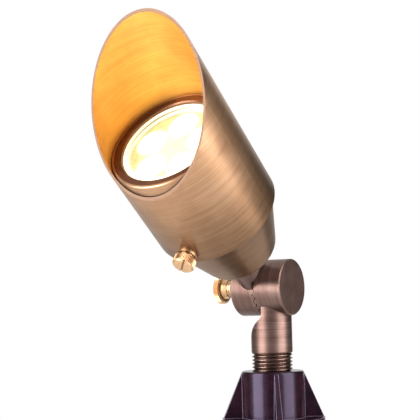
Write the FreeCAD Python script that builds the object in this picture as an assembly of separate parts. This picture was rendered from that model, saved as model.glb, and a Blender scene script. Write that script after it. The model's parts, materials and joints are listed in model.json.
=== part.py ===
"""Garden spike spotlight: a bronze low-voltage lamp head on a toothed knuckle and a ground stake.

Millimetres, +Z up. The origin is on the stem's axis at the soil line, which is the underside of
the stake's flange. The knuckle turns about an axis along X, and the head leans towards -Y.
The head's own pieces are drawn upright about Z, with z = 0 at the knuckle's axis, and then leaned.
"""
import FreeCAD, Part
import math
import os

# ---- overall sizes -------------------------------------------------------------------------
knuckle_height = 69.7        # knuckle axis above the soil line
tilt_deg = 52.5              # lean of the head from upright, as stored
head_offset_x = -3.5         # head axis beside the stem axis, so the two necks can pass
spike_length = 193.5         # buried length below the soil line
spare = 1.0                  # how far a cutting shape runs past what it cuts
fuse_overlap = 0.1           # how far a piece sinks into what it is fused to

# ---- stake ---------------------------------------------------------------------------------
stake_turn_deg = 34.5        # where the stake's fins point once the stem is screwed home
hub_radius = 16.35
hub_height = 26.5
flange_radius = 26.7
flange_thickness = 2.5
gusset_top_thickness = 2.0
gusset_foot_thickness = 3.4
gusset_root = 2.0            # gussets start this far outside the bore, within the hub's wall
spike_shoulder_radius = 22.0
spike_shoulder_drop = 14.0
spike_fin_thickness = 3.2
spike_core_radius = 4.6
spike_tip_radius = 1.2
cavity_floor = 3.2           # bottom of the wiring cavity above the soil line
exit_width = 9.0             # wire exit in the back of the hub
stake_edge_round = 1.2

# ---- stem and lower knuckle ----------------------------------------------------------------
stem_radius = 10.75
stem_length = 34.0           # knuckle axis down to the end of the plain stem
stem_edge_chamfer = 0.5
thread_depth = 1.35          # of the half-inch pipe thread, from the stem's outside to the root
shank_engagement = 14.3
shank_clearance = 0.05
wire_bore_radius = 4.4
wire_bore_top = 22.0         # the straight bore ends this far below the knuckle axis
bore_overlap = 2.0           # how far the side bore and the straight bore share their run
seal_length = 8.0
seal_hole_radius = 2.2
seal_inset = 0.5             # from the shank's end to the seal

# ---- knuckle -------------------------------------------------------------------------------
knuckle_radius = 14.6
knuckle_edge_chamfer = 0.45
mating_plane_x = -2.7        # middle of the meshed teeth
lower_barrel_length = 15.6
upper_barrel_length = 13.5
tooth_count = 24
tooth_depth = 1.7            # at the knuckle's rim
tooth_gap = 0.3              # from each flank to the mating plane's own surface
tooth_ring_gap = 0.15        # from the sealing ring's outside to the teeth
tooth_rim_spare = 1.5        # the flanks are drawn this far past the knuckle's rim
swing_clearance = 0.5        # from a barrel to the neck or stem that swings past it
post_wall = 1.6              # round the screw's bore, inside the ring-shaped wire passage
passage_width = 2.4          # of that passage, from the post to its outer wall
passage_depth = 8.5
side_bore_radius = 2.8       # from the ring passage to the straight bore
side_bore_inset = 0.3        # from the passage's floor to the side bore
knuckle_ring_inset = 0.35    # from the passage to the sealing ring between the two faces
knuckle_ring_section = 1.2
knuckle_ring_gap = 0.05      # from the ring to the face that turns over it
face_recess = 0.95           # plain faces inside the teeth, set back from the mating plane
shoulder_tight_radius = 5.0  # the stem and the neck step sideways in a tight arc and a wide one
shoulder_sink = 1.8          # the shoulders leave the mating side this far inside the knuckle's rim
stem_relief_x = 0.0
stem_relief_slope_deg = 55.0  # steepest slope of the shoulder, between its two arcs

# ---- neck ----------------------------------------------------------------------------------
neck_radius = 10.0
neck_relief_slope_deg = 62.0
spigot_radius = 6.5
spigot_proud = 1.5           # thread left above the nut
spigot_bore_start = 21.5     # the straight bore of the neck starts this far from the axis
neck_gasket_thickness = 0.8
neck_gasket_clearance = 0.2
nut_wall = 1.5               # from the neck's thread to the flats
nut_height = 4.0
nut_clearance = 0.05         # from the neck's thread to the nut's bore

# ---- housing -------------------------------------------------------------------------------
housing_side_gap = 2.2       # from the lamp to the wall
housing_base_z = 29.2
housing_taper_lap = 0.2      # the taper to the base starts this far within the shroud
housing_base_margin = 2.7    # from the bracket's feet to where the taper would meet the base
housing_base_round = 4.6
housing_inner_round = 1.2
housing_wall = 3.0
housing_floor = 7.0
housing_rim_chamfer = 0.4
lens_seat_wall = 1.3         # of the housing's rim, outside the lens
ring_recess = 0.3            # from the housing's front back to the retaining ring

# ---- sealing rings between housing and shroud ----------------------------------------------
o_ring_section = 0.9
o_ring_stand = 0.3           # how far a ring stands out of the housing wall
o_ring_floor_gap = 0.08      # from a ring to the floor of its groove
o_ring_setbacks = (31.0, 21.0)  # behind the housing's front
o_ring_groove_side = 0.15

# ---- lens stack ----------------------------------------------------------------------------
lens_gasket_thickness = 1.2
lens_gasket_lamp_gap = 1.3
glass_thickness = 2.4
glass_clearance = 0.3
ring_thickness = 1.6
ring_opening_margin = 0.2    # from the lamp's edge to the ring's opening
ring_front_chamfer = 0.5

# ---- lamp ----------------------------------------------------------------------------------
lamp_radius = 25.0
lamp_length = 44.0
lamp_front_gap = 0.3         # under the glass
lamp_rim_height = 1.5        # plain band behind the optic's seat
lamp_base_radius = 9.0
lamp_base_length = 9.0
lamp_bowl_step = 3.0         # from the base out to the foot of the bowl
lamp_wall = 1.6
lamp_fin_count = 16
lamp_fin_thickness = 1.4
lamp_fin_foot = 4.5          # fins start this far outside the base
lamp_fin_inset = 0.6         # and end this far inside the rim
optic_thickness = 2.4
optic_lens_count = 5
optic_lens_radius = 7.6
optic_lens_rise = 0.9
optic_rim = 1.0              # flat edge outside the lenses
optic_clearance = 0.1
board_thickness = 1.6
board_inset = 6.0            # from the lamp's edge to the board's
board_clearance = 0.2
board_depth = 6.0            # from the optic's back to the top of the light chips
led_side = 3.4
led_height = 1.1
pin_spacing = 5.33
pin_radius = 0.75
pin_length = 7.5

# ---- lamp socket and its bracket -----------------------------------------------------------
socket_side_step = 0.5       # the socket is this much wider than the lamp's base
wiring_slack = 8.7           # from the neck's thread up to the socket
socket_height = 13.0
socket_gap = 1.0             # between the lamp's base and the socket
socket_pin_clearance = 0.1
bracket_thickness = 1.2
bracket_width = 8.0
bracket_leg_gap = 2.8        # from the nut's flats to the outside of each leg
bracket_foot_length = 5.2
socket_screw_x = 6.0
small_screw_radius = 1.5
small_screw_head_radius = 2.5
small_screw_head_height = 1.8
bracket_screw_bite = 3.5
socket_screw_bite = 6.0
blind_hole_spare = 0.5       # room under the end of a small screw
pin_hole_floor = 2.0

# ---- shroud --------------------------------------------------------------------------------
shroud_gap = 0.4             # from the housing, bridged by the two sealing rings
shroud_wall = 1.15
shroud_lap = 51.7            # from the housing's front back to the shroud's rear edge
shroud_reach = 22.4          # from the housing's front to where the oblique cut crosses the axis
shroud_cut_deg = 42.9        # slope of the cut from square
shroud_turn_deg = -3.0       # how the shroud sits on the housing
shroud_edge_chamfer = 0.3

# ---- thumbscrews ---------------------------------------------------------------------------
small_head_radius = 5.3
small_head_thickness = 4.8
small_head_lift = 2.4        # from the shroud's wall to the head
small_collar_step = 1.3      # from the shank out to the collar
small_shank_radius = 2.4
small_shank_clearance = 0.05
small_slot_width = 1.1
small_slot_depth = 1.3
small_screw_inset = 5.7      # from the shroud's rear edge
bush_wall = 1.0
bush_flange_step = 1.2
bush_flange_height = 1.05
bush_inner_gap = 0.15        # from the bush's inner end to the wall's inner face
small_tip_back = 0.1         # the slackened screw's tip stays within the wall by this much

big_head_radius = 7.7
big_head_thickness = 3.5
big_cone_radius = 5.6
big_cone_length = 3.0
big_collar_step = 1.2        # from the shank out to the collar
big_collar_length = 8.1
big_shank_radius = 3.1
big_shank_clearance = 0.05
big_bore_clearance = 0.3
big_shank_reach = 10.0       # past the mating plane, into the lower knuckle
screw_hole_spare = 1.5

# ---- values that follow from the sizes above -----------------------------------------------
X_AXIS = FreeCAD.Vector(1, 0, 0)
Y_AXIS = FreeCAD.Vector(0, 1, 0)
Z_AXIS = FreeCAD.Vector(0, 0, 1)
ORIGIN = FreeCAD.Vector(0, 0, 0)
KNUCKLE = FreeCAD.Vector(0, 0, knuckle_height)

# knuckle
shoulder_start = knuckle_radius - shoulder_sink
big_bore_radius = big_shank_radius + big_bore_clearance
big_collar_radius = big_shank_radius + big_collar_step
passage_inner_radius = big_bore_radius + post_wall
passage_outer_radius = passage_inner_radius + passage_width
passage_middle_radius = (passage_outer_radius + passage_inner_radius) / 2
knuckle_ring_radius = passage_outer_radius + knuckle_ring_inset + knuckle_ring_section
tooth_inner_radius = knuckle_ring_radius + knuckle_ring_section + tooth_ring_gap

# stem
stem_foot_z = knuckle_height - stem_length
shank_foot_z = hub_height - shank_engagement
shank_root_radius = stem_radius - thread_depth
shank_bore_radius = shank_root_radius + shank_clearance

# up through the head: neck, nut, socket, lamp, glass and ring
neck_top_z = housing_base_z - neck_gasket_thickness
cavity_bottom_z = housing_base_z + housing_floor
spigot_top_z = cavity_bottom_z + nut_height + spigot_proud
socket_bottom_z = spigot_top_z + wiring_slack
socket_top_z = socket_bottom_z + socket_height
lamp_back_z = socket_top_z + socket_gap
lamp_front_z = lamp_back_z + lamp_length
lamp_base_top_z = lamp_back_z + lamp_base_length
lamp_rim_low_z = lamp_front_z - optic_thickness - lamp_rim_height
board_z = lamp_front_z - optic_thickness - board_depth - led_height - board_thickness
glass_z = lamp_front_z + lamp_front_gap
gasket_z = glass_z - lens_gasket_thickness
glass_top_z = glass_z + glass_thickness
ring_top_z = glass_top_z + ring_thickness
housing_front_z = ring_top_z + ring_recess

# out through the head: nut, bracket, lamp, housing and shroud
nut_across_flats = 2 * (spigot_radius + nut_wall)
bracket_leg_x = nut_across_flats / 2 + bracket_leg_gap
bracket_foot_x = bracket_leg_x + bracket_foot_length
housing_base_radius = bracket_foot_x + housing_base_margin
socket_radius = lamp_base_radius + socket_side_step
board_radius = lamp_radius - board_inset
housing_inner_radius = lamp_radius + housing_side_gap
housing_radius = housing_inner_radius + housing_wall
lens_seat_radius = housing_radius - lens_seat_wall
glass_radius = lens_seat_radius - glass_clearance
ring_opening_radius = lamp_radius + ring_opening_margin
shroud_inner_radius = housing_radius + shroud_gap
shroud_radius = shroud_inner_radius + shroud_wall

# along the shroud
shroud_back_z = housing_front_z - shroud_lap
shroud_cut_z = housing_front_z + shroud_reach
housing_taper_z = shroud_back_z + housing_taper_lap
o_ring_spots = [housing_front_z - setback for setback in o_ring_setbacks]
small_screw_z = shroud_back_z + small_screw_inset
small_collar_radius = small_shank_radius + small_collar_step
bush_radius = small_shank_radius + bush_wall
bush_flange_radius = bush_radius + bush_flange_step

edge_tolerance = 0.01        # how near a plane an edge lies to count as on it

parts = {}


# ---- small helpers -------------------------------------------------------------------------
def vec(x, y, z):
    return FreeCAD.Vector(x, y, z)


def rod(radius, low, high, axis=Z_AXIS, centre=ORIGIN):
    """A cylinder from `low` to `high` along an axis through `centre`."""
    return Part.makeCylinder(radius, high - low, centre + axis * low, axis)


def tube(outer, inner, low, high):
    return rod(outer, low, high).cut(rod(inner, low - spare, high + spare))


def block(x0, x1, y0, y1, z0, z1):
    return Part.makeBox(x1 - x0, y1 - y0, z1 - z0, vec(x0, y0, z0))


def turned(profile):
    """A solid turned about Z from (radius, z) corners."""
    points = [vec(r, 0, z) for r, z in profile]
    face = Part.Face(Part.makePolygon(points + points[:1]))
    return face.revolve(ORIGIN, Z_AXIS, 360)


def seal_ring(centre_radius, section, z):
    """A sealing ring about Z, whose round section is drawn with eight sides."""
    near = section * (math.sqrt(2) - 1)
    corners = [(-near, -section), (near, -section), (section, -near), (section, near)]
    corners += [(near, section), (-near, section), (-section, near), (-section, -near)]
    return turned([(centre_radius + dr, z + dz) for dr, dz in corners])


def spun(shape, degrees, axis=Z_AXIS, centre=ORIGIN):
    copy = shape.copy()
    copy.rotate(centre, axis, degrees)
    return copy


def ring_of(shape, count, first=0.0):
    """Copies of a shape evenly round Z."""
    return [spun(shape, first + 360.0 * n / count) for n in range(count)]


def one_solid(shape):
    """The fused result as a single solid with merged faces."""
    clean = shape.removeSplitter()
    return clean.Solids[0] if len(clean.Solids) == 1 else clean


def arcs_of_shoulder(x0, z0, reach, way, slope):
    """A tight arc and then a wide one, from (x0, z0) to x0 + reach, along Z at both ends.

    `way` is 1 or -1 for the way along Z, and `slope` is where the two arcs meet.
    """
    side = math.copysign(1, reach)
    wide_radius = abs(reach) / (1 - math.cos(slope)) - shoulder_tight_radius

    def on_tight(angle):
        dx = shoulder_tight_radius * (1 - math.cos(angle)) * side
        dz = shoulder_tight_radius * math.sin(angle) * way
        return vec(x0 + dx, 0, z0 + dz)

    end_z = z0 + (shoulder_tight_radius + wide_radius) * math.sin(slope) * way

    def on_wide(angle):
        dx = wide_radius * (1 - math.cos(angle)) * side
        dz = wide_radius * math.sin(angle) * way
        return vec(x0 + reach - dx, 0, end_z - dz)

    meeting = on_tight(slope)
    tight = Part.Arc(vec(x0, 0, z0), on_tight(slope / 2), meeting)
    wide = Part.Arc(meeting, on_wide(slope / 2), vec(x0 + reach, 0, end_z))
    return [tight.toShape(), wide.toShape()], end_z


def shoulder_cut(x0, z0, reach, way, slope_deg, far_x, back_z):
    """Everything on the far side of a shoulder, as a bar along Y."""
    half_bar = 2 * knuckle_radius
    edges, end_z = arcs_of_shoulder(x0, z0, reach, way, math.radians(slope_deg))
    bounds = [(x0 + reach, end_z), (far_x, end_z), (far_x, back_z), (x0, back_z), (x0, z0)]
    corners = [vec(x, 0, z) for x, z in bounds]
    for a, b in zip(corners, corners[1:]):
        edges.append(Part.LineSegment(a, b).toShape())
    face = Part.Face(Part.Wire(Part.__sortEdges__(edges)))
    face.translate(vec(0, -half_bar, 0))
    return face.extrude(vec(0, 2 * half_bar, 0))


def tooth_space(side, gap):
    """The room on one side of the toothed surface, with flanks that all point at its centre."""
    rim = knuckle_radius + tooth_rim_spare
    half_depth = tooth_depth / 2 * rim / knuckle_radius
    top_x = side * 3 * tooth_depth
    shift = vec(mating_plane_x - side * gap, 0, knuckle_height)
    steps = 2 * tooth_count
    rim_points = []
    for n in range(steps):
        angle = 2 * math.pi * n / steps
        x = half_depth if n % 2 else -half_depth
        rim_points.append(vec(x, rim * math.cos(angle), rim * math.sin(angle)))
    far_points = [vec(top_x, p.y, p.z) for p in rim_points]
    faces = []
    for n in range(steps):
        m = (n + 1) % steps
        flank = [ORIGIN, rim_points[n], rim_points[m], ORIGIN]
        wall = [rim_points[n], rim_points[m], far_points[m], far_points[n], rim_points[n]]
        faces.append(Part.Face(Part.makePolygon(flank)))
        faces.append(Part.Face(Part.makePolygon(wall)))
    faces.append(Part.Face(Part.makePolygon(far_points + far_points[:1])))
    solid = Part.makeSolid(Part.makeShell(faces))
    if solid.Volume < 0:
        solid.reverse()
    solid.translate(shift)
    return solid


def leaned(shape):
    """Puts a head piece, drawn upright, on the knuckle at its stored lean."""
    copy = shape.copy()
    copy.translate(vec(head_offset_x, 0, 0))
    copy.rotate(ORIGIN, X_AXIS, tilt_deg)
    copy.translate(KNUCKLE)
    return copy


# ---- stake ---------------------------------------------------------------------------------
def gusset():
    """One triangular fin from the hub's top to the flange's edge, thicker at its foot."""
    inner = shank_bore_radius + gusset_root
    top_z = hub_height - stake_edge_round
    sections = []
    for x0, x1, z, thick in (
        (inner, flange_radius, flange_thickness / 2, gusset_foot_thickness),
        (inner, hub_radius + fuse_overlap, top_z, gusset_top_thickness),
    ):
        half = thick / 2
        corners = [vec(x0, -half, z), vec(x1, -half, z), vec(x1, half, z), vec(x0, half, z)]
        sections.append(Part.makePolygon(corners + corners[:1]))
    return Part.makeLoft(sections, True, True)


def spike_fin():
    """One of the four blades that taper to the point."""
    half = spike_fin_thickness / 2
    outline = [
        vec(0, -half, flange_thickness / 2),
        vec(spike_shoulder_radius, -half, flange_thickness / 2),
        vec(spike_shoulder_radius, -half, -spike_shoulder_drop),
        vec(spike_tip_radius, -half, -spike_length),
        vec(0, -half, -spike_length),
    ]
    face = Part.Face(Part.makePolygon(outline + outline[:1]))
    return face.extrude(vec(0, spike_fin_thickness, 0))


def ground_stake():
    hub = rod(hub_radius, 0, hub_height)
    top_edge = [e for e in hub.Edges if e.BoundBox.ZMin > hub_height - edge_tolerance]
    hub = hub.makeFillet(stake_edge_round, top_edge)
    flange = rod(flange_radius, 0, flange_thickness)
    core = Part.makeCone(spike_tip_radius, spike_core_radius, spike_length, vec(0, 0, -spike_length))
    pieces = [flange, core] + ring_of(gusset(), 4) + ring_of(spike_fin(), 4)
    stake = spun(hub.multiFuse(pieces), stake_turn_deg)
    stake = stake.cut(rod(shank_bore_radius, cavity_floor, hub_height + spare))
    half = exit_width / 2
    stake = stake.cut(block(-half, half, 0, flange_radius, cavity_floor, shank_foot_z))
    return one_solid(stake)


# ---- lower knuckle and stem ----------------------------------------------------------------
def screw_post_passage(side, depth):
    """The ring-shaped wire passage that opens at the mating plane on one side of it."""
    low = mating_plane_x - (depth if side < 0 else 0)
    high = mating_plane_x + (depth if side > 0 else 0)
    outer = rod(passage_outer_radius, low, high, X_AXIS, KNUCKLE)
    return outer.cut(rod(passage_inner_radius, low - spare, high + spare, X_AXIS, KNUCKLE))


def face_pocket(side):
    """The set-back round face inside the teeth."""
    if side > 0:
        low = mating_plane_x - 2 * tooth_depth
        high = mating_plane_x + face_recess
    else:
        low = mating_plane_x - face_recess
        high = mating_plane_x + 2 * tooth_depth
    return rod(tooth_inner_radius, low, high, X_AXIS, KNUCKLE)


def lower_knuckle():
    top_x = mating_plane_x + lower_barrel_length
    barrel = rod(knuckle_radius, mating_plane_x - tooth_depth, top_x, X_AXIS, KNUCKLE)
    end_edge = [e for e in barrel.Edges if e.BoundBox.XMin > top_x - edge_tolerance]
    barrel = barrel.makeChamfer(knuckle_edge_chamfer, end_edge)
    barrel = barrel.cut(tooth_space(-1, tooth_gap))
    barrel = barrel.cut(face_pocket(1))

    stem = rod(stem_radius, stem_foot_z, knuckle_height)
    foot_edge = [e for e in stem.Edges if e.BoundBox.ZMax < stem_foot_z + edge_tolerance]
    stem = stem.makeChamfer(stem_edge_chamfer, foot_edge)
    relief = shoulder_cut(
        stem_relief_x,
        knuckle_height - shoulder_start,
        -stem_radius - stem_relief_x,
        -1,
        stem_relief_slope_deg,
        -2 * stem_radius,
        knuckle_height + spare,
    )
    stem = stem.cut(relief)
    shank = rod(shank_root_radius, shank_foot_z, stem_foot_z)
    body = barrel.fuse(stem).fuse(shank)

    bore_top = knuckle_height - wire_bore_top
    straight_bore = rod(wire_bore_radius, shank_foot_z - spare, bore_top)
    side_bore = rod(side_bore_radius, bore_top - bore_overlap, knuckle_height - passage_middle_radius)
    side_x = mating_plane_x + passage_depth - side_bore_inset - side_bore_radius
    side_bore.translate(vec(side_x, 0, 0))
    screw_hole = rod(
        big_shank_radius + big_shank_clearance,
        mating_plane_x - spare,
        mating_plane_x + big_shank_reach + screw_hole_spare,
        X_AXIS,
        KNUCKLE,
    )
    passage = screw_post_passage(1, passage_depth)
    for tool in (passage, knuckle_o_ring(), side_bore, straight_bore, screw_hole):
        body = body.cut(tool)
    return one_solid(body)


def stem_wire_seal():
    low = shank_foot_z + seal_inset
    return tube(wire_bore_radius, seal_hole_radius, low, low + seal_length)


def knuckle_o_ring():
    x = mating_plane_x - face_recess + knuckle_ring_gap + knuckle_ring_section
    ring = spun(seal_ring(knuckle_ring_radius, knuckle_ring_section, x), 90, Y_AXIS)
    ring.translate(KNUCKLE)
    return ring


# ---- upper knuckle, neck and its fastening -------------------------------------------------
def upper_knuckle():
    end_x = mating_plane_x - upper_barrel_length
    barrel = rod(knuckle_radius, end_x, mating_plane_x + tooth_depth, X_AXIS, KNUCKLE)
    end_edge = [e for e in barrel.Edges if e.BoundBox.XMax < end_x + edge_tolerance]
    barrel = barrel.makeChamfer(knuckle_edge_chamfer, end_edge)
    barrel = barrel.cut(tooth_space(1, tooth_gap))

    neck = rod(neck_radius, 0, neck_top_z)
    spigot = rod(spigot_radius, 0, spigot_top_z)
    relief_x = mating_plane_x - head_offset_x
    relief = shoulder_cut(
        relief_x,
        shoulder_start,
        neck_radius - relief_x,
        1,
        neck_relief_slope_deg,
        2 * neck_radius,
        -spare,
    )
    neck = leaned(neck.cut(relief).fuse(spigot.cut(relief)))
    far_x = 3 * neck_radius
    swing_radius = knuckle_radius + swing_clearance
    neck = neck.cut(rod(swing_radius, mating_plane_x - tooth_depth, far_x, X_AXIS, KNUCKLE))
    body = barrel.fuse(neck)
    body = body.cut(face_pocket(-1))
    body = body.cut(screw_post_passage(-1, passage_depth))
    straight_bore = rod(wire_bore_radius, spigot_bore_start, spigot_top_z + spare)
    side_bore = rod(side_bore_radius, passage_middle_radius, spigot_bore_start + bore_overlap)
    side_x = mating_plane_x - passage_depth + side_bore_inset + side_bore_radius
    side_bore.translate(vec(side_x - head_offset_x, 0, 0))
    body = body.cut(leaned(straight_bore))
    body = body.cut(leaned(side_bore))
    body = body.cut(rod(big_bore_radius, end_x - spare, mating_plane_x + 2 * tooth_depth, X_AXIS, KNUCKLE))
    return one_solid(body)


def neck_gasket():
    inner = spigot_radius + neck_gasket_clearance
    return tube(neck_radius - neck_gasket_clearance, inner, neck_top_z, housing_base_z)


def neck_lock_nut():
    corner = nut_across_flats / 2 / math.cos(math.pi / 6)
    turns = [math.pi / 3 * n for n in range(6)]
    points = [vec(corner * math.cos(turn), corner * math.sin(turn), 0) for turn in turns]
    nut = Part.Face(Part.makePolygon(points + points[:1])).extrude(vec(0, 0, nut_height))
    nut.translate(vec(0, 0, cavity_bottom_z))
    return nut.cut(rod(spigot_radius + nut_clearance, 0, housing_front_z))


# ---- housing -------------------------------------------------------------------------------
def housing():
    taper = (housing_radius - housing_base_radius) / (housing_taper_z - housing_base_z)
    inner_shift = housing_wall / math.cos(math.atan(taper))
    floor_radius = housing_base_radius + taper * housing_floor - inner_shift
    inner_taper_z = cavity_bottom_z + (housing_inner_radius - floor_radius) / taper
    outer = turned([
        (0, housing_base_z),
        (housing_base_radius, housing_base_z),
        (housing_radius, housing_taper_z),
        (housing_radius, housing_front_z),
        (0, housing_front_z),
    ])
    base_edge = [e for e in outer.Edges if e.BoundBox.ZMax < housing_base_z + edge_tolerance]
    base_edge = [e for e in base_edge if e.BoundBox.XLength > housing_base_radius]
    outer = outer.makeFillet(housing_base_round, base_edge)
    rim_edge = [e for e in outer.Edges if e.BoundBox.ZMin > housing_front_z - edge_tolerance]
    outer = outer.makeChamfer(housing_rim_chamfer, rim_edge)
    inner = turned([
        (0, cavity_bottom_z),
        (floor_radius, cavity_bottom_z),
        (housing_inner_radius, inner_taper_z),
        (housing_inner_radius, housing_front_z + spare),
        (0, housing_front_z + spare),
    ])
    floor_edge = [e for e in inner.Edges if e.BoundBox.ZMax < cavity_bottom_z + edge_tolerance]
    floor_edge = [e for e in floor_edge if e.BoundBox.XLength > floor_radius]
    inner = inner.makeFillet(housing_inner_round, floor_edge)
    body = outer.cut(inner)
    body = body.cut(rod(lens_seat_radius, gasket_z, housing_front_z + spare))
    body = body.cut(rod(spigot_radius + neck_gasket_clearance, 0, housing_front_z))
    for z in o_ring_spots:
        half = o_ring_section + o_ring_groove_side
        depth_radius = housing_radius + o_ring_stand - 2 * o_ring_section - o_ring_floor_gap
        body = body.cut(tube(housing_radius + spare, depth_radius, z - half, z + half))
    hole_floor = cavity_bottom_z - bracket_screw_bite - blind_hole_spare
    for x, y in bracket_screw_spots():
        hole = rod(small_screw_radius, hole_floor, cavity_bottom_z + spare, Z_AXIS, vec(x, y, 0))
        body = body.cut(hole)
    return one_solid(body)


def housing_o_rings():
    centre_radius = housing_radius + o_ring_stand - o_ring_section
    return Part.makeCompound([seal_ring(centre_radius, o_ring_section, z) for z in o_ring_spots])


# ---- lens stack ----------------------------------------------------------------------------
def lens_gasket():
    return tube(glass_radius, lamp_radius + lens_gasket_lamp_gap, gasket_z, glass_z)


def glass_lens():
    return rod(glass_radius, glass_z, glass_top_z)


def lens_retaining_ring():
    inner = ring_opening_radius
    return turned([
        (inner, glass_top_z),
        (lens_seat_radius, glass_top_z),
        (lens_seat_radius, ring_top_z),
        (inner + ring_front_chamfer, ring_top_z),
        (inner, ring_top_z - ring_front_chamfer),
    ])


# ---- lamp ----------------------------------------------------------------------------------
def bowl_radius(z):
    """Outer radius of the lamp's bowl between its base and its rim."""
    share = (z - lamp_base_top_z) / (lamp_rim_low_z - lamp_base_top_z)
    foot = lamp_base_radius + lamp_bowl_step
    return foot + (lamp_radius - lamp_wall - foot) * math.sqrt(share)


def lamp_shell():
    """The finned metal body, open at the front for the optic and the board."""
    steps = 4
    bowl_height = lamp_rim_low_z - lamp_base_top_z
    heights = [lamp_base_top_z + bowl_height * n / steps for n in range(steps)]
    outer = [(0, lamp_back_z), (lamp_base_radius, lamp_back_z), (lamp_base_radius, lamp_base_top_z)]
    outer += [(bowl_radius(z), z) for z in heights]
    outer += [(lamp_radius - lamp_wall, lamp_rim_low_z), (lamp_radius, lamp_rim_low_z)]
    outer += [(lamp_radius, lamp_front_z), (0, lamp_front_z)]
    body = turned(outer)
    inner = rod(board_radius + board_clearance, board_z, lamp_front_z)
    optic_seat = rod(lamp_radius - lamp_wall, lamp_front_z - optic_thickness, lamp_front_z + spare)
    body = body.cut(inner).cut(optic_seat)

    half = lamp_fin_thickness / 2
    fin_out = lamp_radius - lamp_fin_inset
    fin = block(lamp_base_radius + lamp_bowl_step / 2, fin_out, -half, half, 0, bowl_height)
    fin_foot = lamp_base_radius + lamp_fin_foot
    slope = turned([(0, 0), (fin_foot, 0), (fin_out, bowl_height), (0, bowl_height)])
    fin = fin.common(slope)
    fin.translate(vec(0, 0, lamp_base_top_z))
    fins = [f.cut(inner) for f in ring_of(fin, lamp_fin_count)]
    return one_solid(body.multiFuse(fins))


def lamp_board():
    return rod(board_radius, board_z, board_z + board_thickness)


def optic_spots():
    """Places round the lamp's axis, one for each lens of the optic."""
    turn = 2 * math.pi / optic_lens_count
    spread = lamp_radius - lamp_wall - optic_lens_radius - optic_rim
    return [(spread * math.sin(n * turn), spread * math.cos(n * turn)) for n in range(optic_lens_count)]


def lamp_leds():
    low = board_z + board_thickness
    half = led_side / 2
    chips = []
    for x, y in optic_spots():
        chips.append(block(x - half, x + half, y - half, y + half, low, low + led_height))
    return Part.makeCompound(chips)


def lamp_optic():
    """The clear front plate with its shallow round lenses."""
    low = lamp_front_z - optic_thickness
    plate = rod(lamp_radius - lamp_wall - optic_clearance, low, lamp_front_z - optic_lens_rise)
    foot_z = lamp_front_z - optic_lens_rise
    dome = turned([
        (0, foot_z - fuse_overlap),
        (optic_lens_radius, foot_z - fuse_overlap),
        (optic_lens_radius, foot_z),
        (optic_lens_radius * math.cos(math.pi / 6), foot_z + optic_lens_rise / 3),
        (optic_lens_radius / 2, foot_z + optic_lens_rise * 2 / 3),
        (0, lamp_front_z),
    ])
    domes = []
    for x, y in optic_spots():
        copy = dome.copy()
        copy.translate(vec(x, y, 0))
        domes.append(copy)
    return one_solid(plate.multiFuse(domes))


def lamp_pins():
    half = pin_spacing / 2
    tip_z = lamp_back_z - pin_length
    pins = [rod(pin_radius, tip_z, lamp_back_z, Z_AXIS, vec(x, 0, 0)) for x in (-half, half)]
    return Part.makeCompound(pins)


# ---- socket, bracket and screws ------------------------------------------------------------
def bracket_screw_spots():
    x = bracket_leg_x + bracket_foot_length / 2
    return [(-x, 0), (x, 0)]


def socket_screw_spots():
    return [(-socket_screw_x, 0), (socket_screw_x, 0)]


def lamp_socket():
    body = rod(socket_radius, socket_bottom_z, socket_top_z)
    half = pin_spacing / 2
    bore_radius = pin_radius + socket_pin_clearance
    bore_floor = socket_bottom_z + pin_hole_floor
    for x in (-half, half):
        body = body.cut(rod(bore_radius, bore_floor, socket_top_z + spare, Z_AXIS, vec(x, 0, 0)))
    hole_top = socket_bottom_z + socket_screw_bite + blind_hole_spare
    for x, y in socket_screw_spots():
        hole = rod(small_screw_radius, socket_bottom_z - spare, hole_top, Z_AXIS, vec(x, y, 0))
        body = body.cut(hole)
    return one_solid(body)


def socket_bracket():
    """A bent strap: two feet on the floor, two legs and a bridge that carries the socket."""
    half = bracket_width / 2
    leg_x = bracket_leg_x
    thick = bracket_thickness
    strap = block(-leg_x, leg_x, -half, half, socket_bottom_z - thick, socket_bottom_z)
    leg = block(leg_x - thick, leg_x, -half, half, cavity_bottom_z, socket_bottom_z)
    foot = block(leg_x - thick, bracket_foot_x, -half, half, cavity_bottom_z, cavity_bottom_z + thick)
    side = leg.fuse(foot)
    strap = strap.multiFuse([side, spun(side, 180)])
    for x, y in bracket_screw_spots() + socket_screw_spots():
        strap = strap.cut(rod(small_screw_radius, 0, socket_top_z, Z_AXIS, vec(x, y, 0)))
    return one_solid(strap)


def small_screw(x, y, seat_z, length, way):
    """A pan-head screw on the strap at seat_z, with its shank pointing `way` along Z."""
    shank = rod(small_screw_radius, 0, length)
    head = rod(small_screw_head_radius, -small_screw_head_height, 0)
    screw = shank.fuse(head)
    if way < 0:
        screw = spun(screw, 180, X_AXIS)
    screw.translate(vec(x, y, seat_z))
    return screw


def bracket_screws():
    seat_z = cavity_bottom_z + bracket_thickness
    length = bracket_thickness + bracket_screw_bite
    screws = [small_screw(x, y, seat_z, length, -1) for x, y in bracket_screw_spots()]
    return Part.makeCompound(screws)


def socket_screws():
    seat_z = socket_bottom_z - bracket_thickness
    length = bracket_thickness + socket_screw_bite
    screws = [small_screw(x, y, seat_z, length, 1) for x, y in socket_screw_spots()]
    return Part.makeCompound(screws)


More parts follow.
